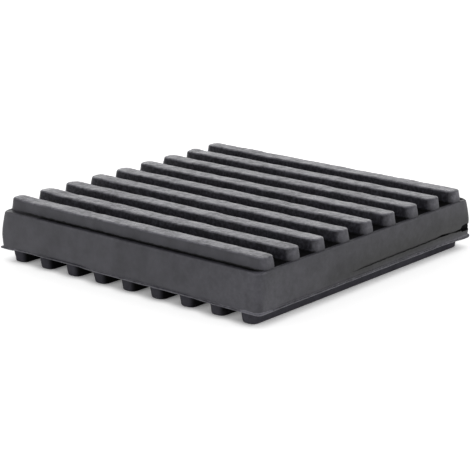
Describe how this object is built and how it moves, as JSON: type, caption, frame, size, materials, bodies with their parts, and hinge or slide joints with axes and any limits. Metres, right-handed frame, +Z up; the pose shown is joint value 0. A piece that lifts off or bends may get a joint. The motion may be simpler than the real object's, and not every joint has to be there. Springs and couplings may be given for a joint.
{
  "type": "anti-vibration machine pad",
  "caption": "Square moulded rubber pad with parallel ribs on both faces, crossed at right angles, laid under a machine's foot to take up vibration.",
  "frame": {"origin": "middle of the footprint, at the level that the lower ribs stand on", "axes": "+Z up, through the pad's thickness; +X along the upper ribs; +Y along the lower ribs"},
  "size_m": [0.1032, 0.1032, 0.0191],
  "materials": {
    "rubber": "matte moulded rubber with a faint grazing sheen"
  },
  "bodies": {
    "root": {"pad": "rubber"}
  },
  "joints": []
}
